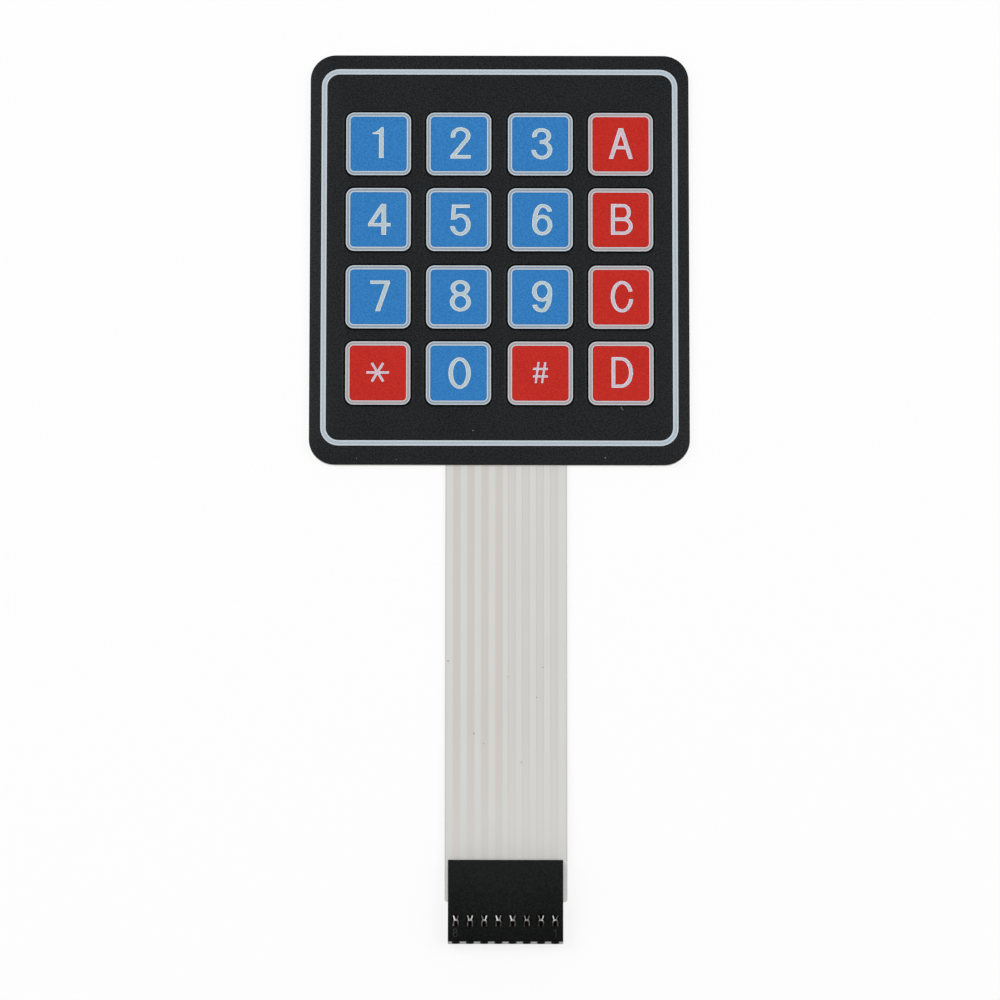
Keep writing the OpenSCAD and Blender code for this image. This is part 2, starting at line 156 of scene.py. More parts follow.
def pick(kind, test):
    """Selects the verts, edges or faces of the mesh in edit mode that pass the test."""
    mode = {"verts": "VERT", "edges": "EDGE", "faces": "FACE"}[kind]
    bpy.ops.mesh.select_mode(type=mode)
    bpy.ops.mesh.select_all(action="DESELECT")
    mesh = bpy.context.object.data
    net = bmesh.from_edit_mesh(mesh)
    for item in getattr(net, kind):
        if test(item):
            item.select_set(True)
    net.select_flush_mode()
    bmesh.update_edit_mesh(mesh)


def join(pieces, name):
    take(*pieces)
    if len(pieces) > 1:
        bpy.ops.object.join()
    pieces[0].name = name
    pieces[0].data.name = name
    return pieces[0]


def copy_to(piece, x, y):
    take(piece)
    bpy.ops.object.duplicate(linked=False)
    made = bpy.context.object
    bpy.ops.transform.translate(value=(x, y, 0))
    bpy.ops.object.transform_apply(location=True, rotation=False, scale=False)
    return made


def drop(piece):
    take(piece)
    bpy.ops.object.delete()


def apply_modifier(piece, kind, **settings):
    take(piece)
    added = piece.modifiers.new(kind.lower(), kind)
    for key, value in settings.items():
        setattr(added, key, value)
    bpy.ops.object.modifier_apply(modifier=added.name)


def rounded_plate(name, width, length, corner, steps, centre=(0.0, 0.0), z=0.0):
    """A flat plate with round corners, left in edit mode with its face selected."""
    leave_all()
    bpy.ops.mesh.primitive_plane_add(size=1, location=(0, 0, 0))
    piece = bpy.context.object
    piece.name = name
    edit(piece)
    bpy.ops.mesh.select_all(action="SELECT")
    bpy.ops.transform.resize(value=(width, length, 1), center_override=(0, 0, 0))
    bpy.ops.mesh.bevel(affect="VERTICES", offset=corner, segments=steps, profile=0.5)
    bpy.ops.mesh.select_all(action="SELECT")
    bpy.ops.transform.translate(value=(centre[0], centre[1], z))
    return piece


def mark(piece, name, share):
    """Keeps a share on each vertex, for the piece's finish to read."""
    to_objects()
    held = piece.data.attributes.get(name) or piece.data.attributes.new(name, "FLOAT", "POINT")
    for vertex, value in zip(piece.data.vertices, held.data):
        value.value = float(share(vertex))


def settle(piece, finish, slot, *nodes):
    """Brings a piece from millimetres to metres, gives it its finish and hangs it on the part."""
    take(piece)
    piece.scale = (1 / METRE, 1 / METRE, 1 / METRE)
    bpy.ops.object.transform_apply(location=True, rotation=True, scale=True)
    piece.data.materials.clear()
    piece.data.materials.append(finish)
    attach(piece, "root")
    if nodes:
        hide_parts(*nodes)
    return piece


def smooth(piece, angle):
    take(piece)
    bpy.ops.object.shade_smooth_by_angle(angle=math.radians(angle))


# Shader helpers

class Wire:
    """A node's output. Sums on it add Math nodes to the same finish."""

    def __init__(self, finish, socket):
        self.finish = finish
        self.socket = socket

    def do(self, operation, first, second=0.0, clamp=False):
        settings = {"operation": operation, "use_clamp": clamp}
        return self.finish.node("ShaderNodeMath", settings, {0: first, 1: second})

    def __add__(self, other):
        return self.do("ADD", self, other)

    __radd__ = __add__

    def __sub__(self, other):
        return self.do("SUBTRACT", self, other)

    def __rsub__(self, other):
        return self.do("SUBTRACT", other, self)

    def __mul__(self, other):
        return self.do("MULTIPLY", self, other)

    __rmul__ = __mul__

    def __truediv__(self, other):
        return self.do("DIVIDE", self, other)

    def __pow__(self, other):
        return self.do("POWER", self, other)

    def __abs__(self):
        return self.do("ABSOLUTE", self)

    def __gt__(self, other):
        return self.do("GREATER_THAN", self, other)

    def __lt__(self, other):
        return self.do("LESS_THAN", self, other)

    def fraction(self):
        return self.do("FRACT", self)

    def most(self, other):
        return self.do("MAXIMUM", self, other)

    def held(self):
        return self.do("ADD", self, 0.0, clamp=True)


class Finish:
    """A procedural finish: a material, or the world, and the nodes that make it."""

    def __init__(self, name, world=None):
        self.material = world or bpy.data.materials.new(name)
        self.material.use_nodes = True
        self.tree = self.material.node_tree
        self.tree.nodes.clear()

    def node(self, kind, settings=None, values=None, output=0):
        made = self.tree.nodes.new(kind)
        for key, value in (settings or {}).items():
            setattr(made, key, value)
        for key, value in (values or {}).items():
            if isinstance(value, Wire):
                self.tree.links.new(value.socket, made.inputs[key])
            else:
                made.inputs[key].default_value = value
        return Wire(self, made.outputs[output]) if len(made.outputs) else None

    def place(self):
        return self.node("ShaderNodeTexCoord", output="Object")

    def along(self, axis):
        """A coordinate of the part in millimetres."""
        return self.node("ShaderNodeSeparateXYZ", None, {0: self.place()}, axis) * METRE

    def noise(self, scale, detail=2.0, roughness=0.5, stretch=None):
        where = self.place()
        if stretch:
            where = self.node("ShaderNodeMapping", None, {"Vector": where, "Scale": stretch})
        values = {"Vector": where, "Scale": scale, "Detail": detail, "Roughness": roughness}
        return self.node("ShaderNodeTexNoise", None, values, "Fac")

    def mix(self, share, first, second):
        settings = {"data_type": "RGBA"}
        return self.node("ShaderNodeMix", settings, {0: share, 6: first, 7: second}, 2)

    def bump(self, height, strength, distance):
        values = {"Height": height, "Strength": strength, "Distance": distance}
        return self.node("ShaderNodeBump", None, values)

    def surface(self, **values):
        sockets = {key.replace("_", " "): value for key, value in values.items()}
        shader = self.node("ShaderNodeBsdfPrincipled", None, sockets)
        self.node("ShaderNodeOutputMaterial", None, {"Surface": shader})
        return self.material


def colour(red, green, blue):
    """A display colour as the linear colour that a shader takes."""
    linear = []
    for part in (red, green, blue):
        part = part / 255.0
        linear.append(part / 12.92 if part <= 0.04045 else ((part + 0.055) / 1.055) ** 2.4)
    return (*linear, 1.0)


# Finishes

def overlay_finish():
    film = Finish("matt_black_film")
    grain = film.noise(3600, 2.0, 0.65)
    cloud = film.noise(70, 3.0, 0.5)
    painted_key_shade = film.node("ShaderNodeAttribute", {"attribute_name": "painted_key_shade"}, None, "Fac")
    tone = (grain - 0.5) * 5.0 + (cloud - 0.5) * 0.5 + 0.5
    base = film.mix(tone.held(), colour(16, 18, 19), colour(38, 40, 42))
    # painted shade: the key shoulders are painted near black
    base = film.mix(painted_key_shade, base, colour(1, 1, 2))
    base = film.mix(speck_share(film, OVERLAY_SPECKS), base, colour(150, 152, 155))
    return film.surface(Base_Color=base, Roughness=grain * 0.16 + painted_key_shade * 0.4 + 0.42,
                        Specular_IOR_Level=0.13, Normal=film.bump(grain, 0.3, 0.00003))


def field_finish(name, dark, light, edge):
    ink = Finish(name)
    grain = ink.noise(3900, 2.0, 0.65)
    cloud = ink.noise(150, 2.0, 0.5)
    tone = (grain - 0.5) * 4.4 + (cloud - 0.5) * 0.4 + 0.5
    base = ink.mix(tone.held(), colour(*dark), colour(*light))
    rim = ink.node("ShaderNodeAttribute", {"attribute_name": "rim"}, None, "Fac")
    base = ink.mix(rim * 0.8, base, colour(*edge))
    return ink.surface(Base_Color=base, Roughness=grain * 0.14 + 0.42, Specular_IOR_Level=0.2,
                       Normal=ink.bump(grain, 0.25, 0.00003))


def line_finish(name, core, bank, core_by_red, bank_by_red):
    """Pale ink, lighter where it banks up along its edges and warmer where it lies by the red."""
    ink = Finish(name)
    rim = ink.node("ShaderNodeAttribute", {"attribute_name": "rim"}, None, "Fac")
    warm = ink.node("ShaderNodeAttribute", {"attribute_name": "warm"}, None, "Fac")
    grain = ink.noise(3600, 2.0, 0.6)
    tone = (rim * 0.9 + (grain - 0.5) * 0.8 + 0.05).held()
    cool = ink.mix(tone, colour(*core), colour(*bank))
    tinted = ink.mix(tone, colour(*core_by_red), colour(*bank_by_red))
    return ink.surface(Base_Color=ink.mix(warm, cool, tinted), Roughness=grain * 0.12 + 0.42,
                       Specular_IOR_Level=0.2, Normal=ink.bump(grain, 0.2, 0.00003))


def band_share(across, first, half, soft):
    """How far a point lies inside the ink lines that repeat at the ways' pitch."""
    step = ((across - first) / WAY_PITCH + 0.5).fraction() - 0.5
    return ((half - abs(step) * WAY_PITCH) / soft + 0.5).held()


def circuit_finish():
    film = Finish("printed_circuit_film")
    across = film.along("X")
    down = film.along("Y")
    right_half = across > HALVES_MEET
    left_band = band_share(across, LEFT_LINE, LEFT_HALF, LEFT_SOFT) * (1.0 - right_half)
    right_band = band_share(across, RIGHT_LINE, RIGHT_HALF, RIGHT_SOFT) * right_half
    edge_wide = band_share(across, RIGHT_LINE, EDGE_WIDE, EDGE_SOFT)
    edge_slim = band_share(across, RIGHT_LINE, EDGE_SLIM, EDGE_SOFT)
    edge = (edge_wide - edge_slim) * right_half
    fade = 1.0 - ((FADE_FROM - down) / FADE_L).held() * 0.6
    inside = (abs(across - TAIL_X) < LINES_HALF) * (down < LINES_FROM) * fade
    rim = ((abs(across - TAIL_X) - (TAIL_W / 2 - TAIL_RIM)) / TAIL_RIM_SOFT).held()
    cloud = film.noise(90, 3.0, 0.5)
    grain = film.noise(2600, 2.0, 0.6)
    base = film.mix((cloud * 0.7 + grain * 0.3).held(), colour(208, 208, 205), colour(217, 217, 214))
    base = film.mix(left_band * inside * 0.9, base, colour(204, 199, 193))
    base = film.mix(right_band * inside * 0.7, base, colour(207, 204, 199))
    base = film.mix(edge * inside * 0.6, base, colour(196, 192, 187))
    base = film.mix(rim * 0.8, base, colour(198, 195, 191))
    # painted light: the tabs beside the housing are painted lighter, making up for the shade the housing
    # casts on them
    base = film.mix(((LIT_TABS_FROM - down) / LIT_TABS_SOFT).held(), base, colour(245, 244, 241))
    base = film.mix(speck_share(film, TAIL_SPECKS), base, colour(150, 122, 92))
    return film.surface(Base_Color=base, Roughness=grain * 0.1 + 0.34, Specular_IOR_Level=0.35,
                        Normal=film.bump(cloud, 0.1, 0.00005))


def speck_share(film, spots):
    """How far a point lies inside the few specks of a film."""
    across = film.along("X")
    down = film.along("Y")
    share = None
    for x, y, radius in spots:
        far = ((across - x) ** 2.0 + (down - y) ** 2.0) ** 0.5
        spot = ((radius - far) / SPECK_SOFT + 0.5).held()
        share = spot if share is None else share.most(spot)
    return share * 0.7


def sheet_finish(name, dark, light, scale, roughness):
    sheet = Finish(name)
    cloud = sheet.noise(scale, 4.0, 0.6)
    fine = sheet.noise(scale * 12, 2.0, 0.5)
    base = sheet.mix((cloud * 0.6 + fine * 0.4).held(), colour(*dark), colour(*light))
    return sheet.surface(Base_Color=base, Roughness=fine * 0.12 + roughness, Specular_IOR_Level=0.35,
                         Normal=sheet.bump(fine, 0.15, 0.00002))


def liner_finish():
    paper = Finish("release_paper")
    fibre = paper.noise(900, 3.0, 0.6, (1.0, 0.35, 1.0))
    cloud = paper.noise(60, 3.0, 0.5)
    tone = fibre * 0.5 + cloud * 0.5
    base = paper.mix(tone.held(), colour(226, 222, 208), colour(240, 238, 228))
    return paper.surface(Base_Color=base, Roughness=fibre * 0.15 + 0.45, Specular_IOR_Level=0.4,
                         Normal=paper.bump(fibre, 0.2, 0.00003))


def silver_finish():
    ink = Finish("silver_ink")
    grain = ink.noise(3000, 3.0, 0.6)
    base = ink.mix(grain, colour(150, 148, 145), colour(196, 194, 190))
    return ink.surface(Base_Color=base, Roughness=grain * 0.2 + 0.35, Metallic=0.7)


def housing_finish(name, low, high):
    plastic = Finish(name)
    pit = plastic.noise(4600, 2.0, 0.55)
    cloud = plastic.noise(160, 3.0, 0.5)
    # painted shading: the plastic is painted darker at the mating face and lighter toward the film
    painted_light_toward_film = ((plastic.along("Y") - PAINTED_SHADE_FROM) / HOUSING_L).held()
    tone = (painted_light_toward_film * 0.9 + (pit - 0.5) * 3.2 + (cloud - 0.5) * 0.4 + 0.02).held()
    base = plastic.mix(tone, colour(*low), colour(*high))
    return plastic.surface(Base_Color=base, Roughness=pit * 0.2 + 0.40, Specular_IOR_Level=0.12,
                           Normal=plastic.bump(pit, 0.3, 0.00003))


def mating_face_finish():
    plastic = Finish("smooth_black_plastic")
    flow = plastic.noise(700, 3.0, 0.5, (1.0, 1.0, 3.0))
    base = plastic.mix(flow, colour(16, 17, 19), colour(30, 31, 33))
    return plastic.surface(Base_Color=base, Roughness=flow * 0.1 + 0.14, Specular_IOR_Level=0.6,
                           Normal=plastic.bump(flow, 0.05, 0.00003))


def contact_finish():
    """Tinned strip with a painted glint on the ears and the tongue's crown, dull on its legs, and painted
    shade inside the box.
    """
    metal = Finish("tinned_contact")
    draw = metal.noise(1500, 3.0, 0.6, (4.0, 0.5, 1.0))
    dent = metal.noise(900, 1.0, 0.5)
    left = metal.node("ShaderNodeAttribute", {"attribute_name": "left_ear_glint"}, None, "Fac")
    right = metal.node("ShaderNodeAttribute", {"attribute_name": "right_ear_glint"}, None, "Fac")
    step = ((metal.along("X") - FIRST_WAY) / WAY_PITCH + 0.5).fraction() - 0.5
    on_right = (step * WAY_PITCH / MIDDLE_SOFT + 0.5).held()
    ear = left * (1.0 - on_right) + right * on_right
    down = metal.along("Y")
    on_ear = ((down - CROWN_Y) / EAR_SOFT + 0.5).held()
    on_crown = ((down - (CROWN_Y - CROWN_L)) / EAR_SOFT + 0.5).held() - on_ear
    on_roof = ((metal.along("Z") - ROOF_Z) / ROOF_SOFT).held()
    on_legs = 1.0 - on_ear - on_crown
    # painted glint: the ears and the crown are painted near white and less metallic, the legs stay dull
    lit = on_ear * ear + on_crown * (ear * 0.45 + 0.42) + on_legs * (dent - 0.35)
    painted_glint = (lit * on_roof).held()
    base = metal.mix(painted_glint, colour(78, 76, 74), colour(250, 246, 243))
    # painted shade: the metal below the roof, inside the box, is painted dark
    base = metal.mix(on_roof * 0.8 + 0.2, colour(30, 29, 28), base)
    return metal.surface(Base_Color=base, Metallic=1.0 - painted_glint * 0.85, Roughness=draw * 0.2 + 0.28,
                         Normal=metal.bump(dent, 0.3, 0.0003))


# Key signs, drawn as strokes of a pen that is wider than it is tall

FIGURE_PEN = (0.47, 0.375)
LETTER_PEN = (0.40, 0.345)


def arc(x, y, across, up, start, end):
    count = max(2, int(abs(end - start) / ARC_STEP))
    points = []
    for n in range(count + 1):
        angle = math.radians(start + (end - start) * n / count)
        points.append((x + across * math.cos(angle), y + up * math.sin(angle)))
    return points


def pen_offset(pen, direction):
    nx, ny = -direction.y, direction.x
    size = math.hypot(pen[0] * nx, pen[1] * ny)
    return Vector((pen[0] ** 2 * nx / size, pen[1] ** 2 * ny / size))


def bend(pen, points):
    """The outline of a pen drawn along a line, with its ends cut square."""
    path = [Vector(p) for p in points]
    left, right = [], []
    for n, point in enumerate(path):
        before = path[max(n - 1, 0)]
        after = path[min(n + 1, len(path) - 1)]
        offset = pen_offset(pen, (after - before).normalized())
        left.append(point + offset)
        right.append(point - offset)
    return [left + right[::-1]]


def ring(pen, x, y, across, up):
    outer = arc(x, y, across + pen[0], up + pen[1], 0, 360 - ARC_STEP)
    inner = arc(x, y, across - pen[0], up - pen[1], 0, 360 - ARC_STEP)
    return [outer, inner]


def leg(half, start, end):
    """A slanting stem whose ends are cut level."""
    (x0, y0), (x1, y1) = start, end
    return [[(x0 - half, y0), (x0 + half, y0), (x1 + half, y1), (x1 - half, y1)]]


def bar(half, x0, x1, y):
    return [[(x0, y - half), (x1, y - half), (x1, y + half), (x0, y + half)]]


def one():
    stem = [(0.10, -2.93), (1.04, -2.93), (1.04, 2.98), (0.55, 2.98), (0.10, 2.44)]
    flag = [(0.48, 1.53), (0.48, 2.88), (0.13, 2.48), (-0.22, 2.23), (-0.60, 2.04),
            (-1.10, 1.90), (-1.10, 1.56)]
    return [[stem], [flag]]


def bowl(pen, x, y, across, up, stem_x):
    return bend(pen, [(stem_x, y + up)] + arc(x, y, across, up, 90, -90) + [(stem_x, y - up)])


def turned(outlines, x):
    return [[(2 * x - px, -py) for px, py in outline] for outline in outlines]


def six():
    pen = FIGURE_PEN
    tail = arc(0.42, 1.45, 1.37, 1.18, 2, 90) + arc(0.42, -0.6, 1.39, 3.23, 97.5, 190)
    return [ring(pen, 0.44, -0.985, 1.41, 1.615), bend(pen, tail)]


def sign_strokes(sign):
    pen, slim = FIGURE_PEN, LETTER_PEN
    if sign == "0":
        return [ring(pen, 0.28, 0.0, 1.61, 2.615)]
    if sign == "1":
        return one()
    if sign == "2":
        sweep = arc(0.4, 1.37, 1.38, 1.255, 198, -35) + [(-1.0, -2.48)]
        return [bend(pen, sweep), bar(0.375, -1.52, 2.29, -2.625)]
    if sign == "3":
        upper = arc(0.32, 1.49, 1.32, 1.135, 195, -90) + [(-0.06, 0.34)]
        lower = [(-0.06, 0.31)] + arc(0.37, -1.165, 1.49, 1.46, 90, -182)
        return [bend(pen, upper), bend(pen, lower)]
    if sign == "4":
        slant = leg(0.52, (-1.28, -0.66), (1.08, 2.98))
        return [slant, leg(0.475, (1.07, -2.92), (1.07, 2.98)), bar(0.36, -1.84, 2.36, -0.96)]
    if sign == "5":
        cup = arc(0.36, -0.89, 1.47, 1.74, 142, -172)
        return [bar(0.36, -1.22, 2.12, 2.58), leg(0.43, (-0.98, 0.02), (-0.77, 2.9)), bend(pen, cup)]
    if sign == "6":
        return six()
    if sign == "7":
        return [bar(0.36, -1.39, 2.26, 2.56), leg(0.49, (-0.03, -2.9), (1.80, 2.5))]
    if sign == "8":
        return [ring(pen, 0.37, 1.50, 1.33, 1.125), ring(pen, 0.40, -1.145, 1.49, 1.445)]
    if sign == "9":
        return [turned(stroke, 0.42) for stroke in six()]
    if sign == "A":
        left = leg(0.44, (-1.68, -2.88), (0.12, 2.97))
        right = leg(0.44, (1.96, -2.88), (0.16, 2.97))
        return [left, right, bar(0.345, -1.1, 1.4, -0.72)]
    if sign == "B":
        return [leg(0.40, (-1.33, -2.9), (-1.33, 2.95)), bowl(slim, 0.6, 1.33, 0.97, 1.275, -1.3),
                bowl(slim, 0.63, -1.27, 1.28, 1.285, -1.3)]
    if sign == "C":
        return [bend(slim, arc(0.29, 0.0, 1.69, 2.655, 20, 351))]
    if sign == "D":
        return [leg(0.39, (-1.29, -2.9), (-1.29, 2.89)), bowl(slim, 0.1, 0.0, 1.79, 2.55, -1.25)]
    if sign == "*":
        pen = (0.27, 0.27)
        return [bar(0.265, -2.03, 2.14, 0.01), bend(pen, [(-1.03, 1.82), (1.08, -1.70)]),
                bend(pen, [(-1.03, -1.70), (1.08, 1.82)])]
    hash_legs = [leg(0.23, (-0.76, -2.00), (-0.25, 2.01)), leg(0.23, (0.37, -2.00), (0.98, 2.01))]
    return hash_legs + [bar(0.24, -1.31, 1.48, 0.70), bar(0.24, -1.31, 1.48, -0.70)]


def keeps_off(point, sides, amount):
    """Whether a point stays an amount away from every side of an outline."""
    for a, b in sides:
        along = (point - a).dot(b - a) / max((b - a).length_squared, 1e-9)
        if (point - a.lerp(b, min(max(along, 0.0), 1.0))).length < amount:
            return False
    return True


def drawn_in(outlines, amount):
    """A stroke's outlines moved inward by an amount; the second outline of a ring is a hole."""
    made = []
    for n, outline in enumerate(outlines):
        points = [Vector(point) for point in outline]
        pairs = list(zip(points, points[1:] + points[:1]))
        turn = sum(a.x * b.y - b.x * a.y for a, b in pairs)
        side = math.copysign(amount, turn) * (1 if n == 0 else -1)
        ways = [(b - a).normalized() for a, b in pairs]
        moved = []
        for point, before, after in zip(points, ways[-1:] + ways[:-1], ways):
            both = Vector((-before.y - after.y, before.x + after.x))
            moved.append(point + both * side / (1 + before.dot(after)))
        made.append([point for point in moved if keeps_off(point, pairs, amount - OUTLINE_SLACK)])
    return made


def stroke_piece(outlines, low, high):
    """One stroke as a flat curve, filled, given its height and made a mesh."""
    leave_all()
    bpy.ops.curve.primitive_bezier_circle_add(location=(0, 0, 0))
    piece = bpy.context.object
    curve = piece.data
    curve.splines.clear()
    curve.dimensions = "2D"
    curve.fill_mode = "BOTH"
    curve.extrude = (high - low) / 2
    for outline in outlines:
        line = curve.splines.new("POLY")
        line.points.add(len(outline) - 1)
        for point, (x, y) in zip(line.points, outline):
            point.co = (x, y, 0.0, 1.0)
        line.use_cyclic_u = True
    take(piece)
    bpy.ops.object.convert(target="MESH")
    piece = bpy.context.object
    edit(piece)
    bpy.ops.mesh.select_all(action="SELECT")
    bpy.ops.mesh.remove_doubles(threshold=0.0001)
    bpy.ops.mesh.normals_make_consistent(inside=False)
    bpy.ops.transform.translate(value=(0, 0, (low + high) / 2))
    to_objects()
    return piece


def sign_piece(sign, z, height):
    """A sign: its strokes, made to unlike heights so that they join cleanly, then cut level."""
    strokes = []
    for n, outlines in enumerate(sign_strokes(sign)):
        outlines = drawn_in(outlines, SIGN_TRIM)
        low = z - STROKE_REACH - REACH_STEP * n
        high = z + height + STROKE_REACH + REACH_STEP * n
        strokes.append(stroke_piece(outlines, low, high))
    whole = strokes[0]
    for stroke in strokes[1:]:
        apply_modifier(whole, "BOOLEAN", operation="UNION", object=stroke, solver="EXACT")
        drop(stroke)
    edit(whole)
    for level, lower in ((z, True), (z + height, False)):
        bpy.ops.mesh.select_all(action="SELECT")
        bpy.ops.mesh.bisect(plane_co=(0, 0, level), plane_no=(0, 0, 1), use_fill=True,
                            clear_inner=lower, clear_outer=not lower)
    bpy.ops.mesh.select_all(action="SELECT")
    bpy.ops.mesh.remove_doubles(threshold=0.002)
    bpy.ops.mesh.normals_make_consistent(inside=False)
    to_objects()
    return whole


def banked_sign(sign, z):
    """A printed sign whose ink banks up along its edges and lies thinner in the middle of each stroke."""
    whole = sign_piece(sign, z, SIGN_T)
    top = z + SIGN_T
    inward = SIGN_TRIM + (SLIM_BANK_W if sign in "*#" else BANK_W)
    for n, outlines in enumerate(sign_strokes(sign)):
        low = top - BANK_T - BANK_STEP * n
        high = top + MIDDLE_REACH + REACH_STEP * n
        middle = stroke_piece(drawn_in(outlines, inward), low, high)
        apply_modifier(whole, "BOOLEAN", operation="DIFFERENCE", object=middle, solver="EXACT")
        drop(middle)
    mark(whole, "rim", lambda vertex: vertex.co.z > top - BANK_T / 2)
    return whole


# Pieces of the keypad

def key_pillow():
    """One raised key of the film, from its foot on the flat up to the land that carries the print."""
    foot = KEY + 2 * (LAND + RUN)
    piece = rounded_plate("key_pillow", foot, foot, KEY_R + LAND + RUN, 9, z=OVERLAY_Z)
    steps = 8
    last = 0.0
    for n in range(1, steps + 1):
        height = RAISE * (0.5 - 0.5 * math.cos(math.pi * n / steps))
        bpy.ops.mesh.inset(thickness=RUN / steps, depth=height - last)
        last = height
    bpy.ops.mesh.inset(thickness=LAND, depth=0.0)
    to_objects()
    return piece


def gets_painted_key_shade(place):
    """Whether a point of the film lies on a key's land or on the top of its slope, where the film is painted
    dark as shade.
    """
    return place.z > OVERLAY_Z + PAINTED_KEY_SHADE_FROM * RAISE


def graphic_overlay():
    first = key_pillow()
    parts = [copy_to(first, x, y) for y in ROW_Y for x in COLUMN_X]
    drop(first)
    rim = rounded_plate("overlay_rim", PANEL_W, PANEL_L, PANEL_R, 14, z=OVERLAY_Z)
    bpy.ops.mesh.delete(type="ONLY_FACE")
    to_objects()
    piece = join([rim] + parts, "overlay")
    edit(piece)
    pick("edges", lambda e: len(e.link_faces) < 2)
    bpy.ops.mesh.fill(use_beauty=True)
    bpy.ops.mesh.select_all(action="SELECT")
    bpy.ops.mesh.normals_make_consistent(inside=False)
    net = bmesh.from_edit_mesh(piece.data)
    if sum(face.normal.z * face.calc_area() for face in net.faces) < 0:
        bpy.ops.mesh.flip_normals()
    apply_modifier(piece, "SOLIDIFY", thickness=OVERLAY_T, offset=-1.0)
    apply_modifier(piece, "BEVEL", width=OVERLAY_BEVEL, segments=2, limit_method="ANGLE",
                   angle_limit=math.radians(60))
    smooth(piece, 35)
    # marks the key shoulders that the finish paints dark as shade
    mark(piece, "painted_key_shade", lambda vertex: gets_painted_key_shade(vertex.co))
    return settle(piece, overlay_finish(), "overlay_film", "graphic_overlay")


def line_ring(name, width, length, corner, inner_width, inner_length, inner_corner, centre, z, middle=0.0):
    outer = rounded_plate(name, width, length, corner, 8, centre, z)
    bpy.ops.mesh.delete(type="ONLY_FACE")
    inner = rounded_plate("inner_line", inner_width, inner_length, inner_corner, 8, centre, z)
    bpy.ops.mesh.delete(type="ONLY_FACE")
    piece = join([outer, inner], name)
    edit(piece)
    bpy.ops.mesh.select_mode(type="EDGE")
    bpy.ops.mesh.select_all(action="SELECT")
    bpy.ops.mesh.bridge_edge_loops(number_cuts=5, interpolation="LINEAR", smoothness=0.0)
    bpy.ops.mesh.select_all(action="SELECT")
    bpy.ops.mesh.normals_make_consistent(inside=False)
    net = bmesh.from_edit_mesh(piece.data)
    if sum(face.normal.z for face in net.faces) < 0:
        bpy.ops.mesh.flip_normals()
    pick("verts", lambda v: v.is_boundary)
    bpy.ops.mesh.select_more()
    to_objects()
    mark(piece, "rim", lambda vertex: 1.0 if vertex.select else middle)
    apply_modifier(piece, "SOLIDIFY", thickness=INK_T, offset=-1.0)
    return piece


def line_print():
    top = KEY_Z + INK_T
    border = line_ring("key_border", BORDER, BORDER, KEY_R, FIELD, FIELD, FIELD_R, (0, 0), top)
    parts = []
    for row, y in enumerate(ROW_Y):
        for column, x in enumerate(COLUMN_X):
            made = copy_to(border, x, y)
            mark(made, "warm", lambda vertex: is_red(row, column))
            parts.append(made)
    drop(border)
    width = PANEL_W - 2 * LINE_SIDE
    length = PANEL_L - LINE_TOP - LINE_END
    centre = (0.0, (LINE_END - LINE_TOP) / 2)
    parts.append(line_ring("frame_line", width, length, LINE_R, width - 2 * LINE_W,
                           length - 2 * LINE_W, LINE_R - LINE_W, centre, OVERLAY_Z + INK_T, 0.5))
    piece = join(parts, "lines")
    ink = line_finish("pale_line_ink", (134, 149, 163), (202, 212, 219), (160, 150, 152), (202, 205, 211))
    return settle(piece, ink, "line_ink", "line_print")


def key_field():
    piece = rounded_plate("key_field", FIELD, FIELD, FIELD_R, 6, z=KEY_Z + INK_T)
    bpy.ops.mesh.inset(thickness=FIELD_RIM, depth=0.0)
    to_objects()
    mark(piece, "rim", lambda vertex: not vertex.select)
    apply_modifier(piece, "SOLIDIFY", thickness=INK_T, offset=-1.0)
    return piece


def is_red(row, column):
    return column == 3 or (row == 3 and column != 1)


def key_fields():
    field = key_field()
    blue, red = [], []
    for row, y in enumerate(ROW_Y):
        for column, x in enumerate(COLUMN_X):
            made = copy_to(field, x, y)
            (red if is_red(row, column) else blue).append(made)
    drop(field)
    blue_ink = field_finish("blue_key_ink", (34, 112, 177), (54, 128, 193), (20, 96, 164))
    red_ink = field_finish("red_key_ink", (180, 30, 18), (197, 42, 32), (172, 22, 18))
    settle(join(blue, "blue_fields"), blue_ink, "blue_ink", "blue_print")
    settle(join(red, "red_fields"), red_ink, "red_ink", "red_print")


def key_signs():
    parts = []
    for row, y in enumerate(ROW_Y):
        for column, x in enumerate(COLUMN_X):
            sign = banked_sign(SIGNS[row][column], KEY_Z + INK_T)
            mark(sign, "warm", lambda vertex: is_red(row, column))
            take(sign)
            lift = SIGN_SHIFT[1] + SIGN_LIFT[row][column]
            bpy.ops.transform.translate(value=(x + SIGN_SHIFT[0], y + lift, 0))
            bpy.ops.object.transform_apply(location=True)
            parts.append(sign)
    piece = join(parts, "key_signs")
    ink = line_finish("pale_sign_ink", (173, 192, 202), (217, 224, 223), (203, 180, 187), (210, 226, 240))
    return settle(piece, ink, "line_ink")


def node_copy(node, name):
    """A CAD node's shape as a new piece in millimetres, its triangles merged into whole faces."""
    piece = bpy.data.objects.new(name, frame["nodes"][node].data.copy())
    bpy.context.scene.collection.objects.link(piece)
    edit(piece)
    bpy.ops.mesh.select_all(action="SELECT")
    bpy.ops.transform.resize(value=(METRE, METRE, METRE), center_override=(0, 0, 0))
    bpy.ops.mesh.remove_doubles(threshold=0.0005)
    bpy.ops.mesh.dissolve_limited(angle_limit=math.radians(0.6))
    to_objects()
    return piece


def pin_number(sign, x, y):
    """A raised number moulded beside an end way."""
    piece = sign_piece(sign, HOUSING_Z - PIN_NUMBER_T / 2, PIN_NUMBER_T)
    edit(piece)
    bpy.ops.mesh.select_all(action="SELECT")
    bpy.ops.transform.resize(value=(*PIN_NUMBER_SCALE, 1), center_override=(SIGN_MIDDLE, 0, 0))
    bpy.ops.transform.translate(value=(x - SIGN_MIDDLE, y, 0))
    to_objects()
    return piece


